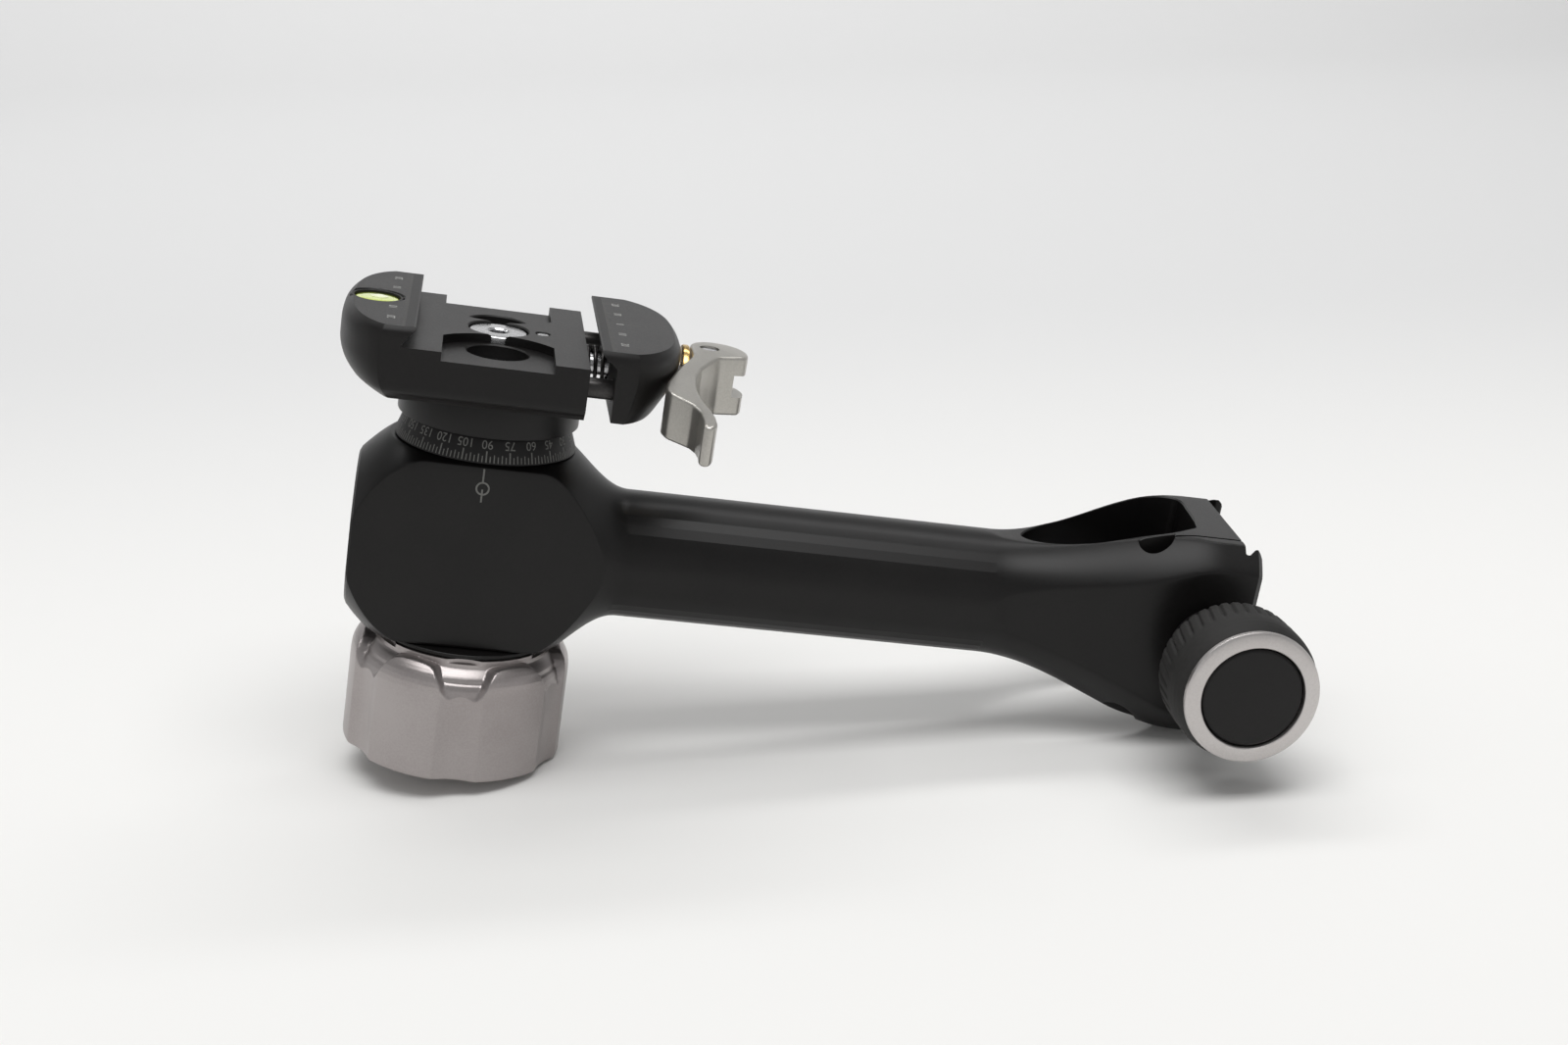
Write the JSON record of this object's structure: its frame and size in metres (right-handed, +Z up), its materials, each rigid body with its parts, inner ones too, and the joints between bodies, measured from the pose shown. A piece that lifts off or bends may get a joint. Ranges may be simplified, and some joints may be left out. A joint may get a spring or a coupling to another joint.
{
  "type": "gimbal tripod head",
  "caption": "Swing arm of a gimbal tripod head with tilt hub, lobed lock knob, lever-operated quick-release clamp with level, degree dial, and a dovetail clamp end with a ribbed knob.",
  "frame": {"origin": "centre of the footprint's bounding box, on the table the part lies on", "axes": "+X along the lying arm toward its clamp end, +Z up from the table; the tilt axis leans toward +X by the angle at which the arm lies"},
  "size_m": [0.2236, 0.0848, 0.115],
  "materials": {
    "black_anodised": "black satin anodised aluminium",
    "dial_black": "black matt anodised aluminium with pale engraved marks",
    "warm_grey_anodised": "warm grey satin anodised aluminium",
    "satin_nickel": "bead-blasted bright finish",
    "steel": "turned stainless steel",
    "brass": "turned brass",
    "rubber": "ribbed black rubber",
    "knob_plastic": "black moulded plastic",
    "bearing_polymer": "bearing polymer",
    "level_liquid": "yellow-green level liquid under a clear window",
    "level_bubble": "pale bubble"
  },
  "bodies": {
    "arm": {"swing_arm": "black_anodised", "bearing_sleeve": "bearing_polymer", "thrust_washer": "brass", "lock_collar": "black_anodised"},
    "rotor": {"tilt_spindle": "steel", "dial_ring": "dial_black", "clamp_flange": "black_anodised", "clamp_body": "black_anodised", "centre_screw": "steel", "fixing_screw_front": "steel", "fixing_screw_back": "steel", "stop_pin": "steel", "level_cup": "dial_black", "level_vial": "level_liquid", "level_bubble": "level_bubble", "draw_rod": "steel", "lever_pin": "steel", "return_spring": "steel"},
    "jaw": {"movable_jaw": "black_anodised", "brass_seat": "brass", "spacer_washer": "steel", "thrust_ring": "brass", "guide_rod_front": "steel", "guide_rod_back": "steel"},
    "lever": {"cam_lever": "satin_nickel"},
    "tilt_lock": {"lock_knob": "warm_grey_anodised", "knob_cap": "knob_plastic"},
    "clamp_knob": {"knob_washer": "steel", "knob_core": "knob_plastic", "knob_grip": "rubber", "knob_ring": "satin_nickel", "knob_face": "knob_plastic", "clamp_stud": "steel"}
  },
  "joints": [
    {"name": "tilt", "type": "hinge", "parent": "arm", "child": "rotor", "pos_m": [-0.07726, 0.0138, 0.05531], "axis": [0.1685, 0, 0.9857], "continuous": true},
    {"name": "lever_turn", "type": "hinge", "parent": "rotor", "child": "lever", "pos_m": [-0.02179, 0.0138, 0.09138], "axis": [0.1685, 0, 0.9857], "range_deg": [0, 205]},
    {"name": "jaw_slide", "type": "slide", "parent": "rotor", "child": "jaw", "axis": [0.9857, 0, -0.1685], "range_m": [-0.0052, 0]},
    {"name": "tilt_lock_turn", "type": "hinge", "parent": "arm", "child": "tilt_lock", "pos_m": [-0.07726, 0.0138, 0.05531], "axis": [-0.1685, 0, -0.9857], "range_deg": [0, 360]},
    {"name": "clamp_knob_turn", "type": "hinge", "parent": "arm", "child": "clamp_knob", "pos_m": [0.09484, 0.0138, 0.02589], "axis": [0, -1, 0], "range_deg": [0, 720]}
  ],
  "couplings": [
    {"joint": "jaw_slide", "follows": "lever_turn", "m_per_rad": -0.00145}
  ]
}
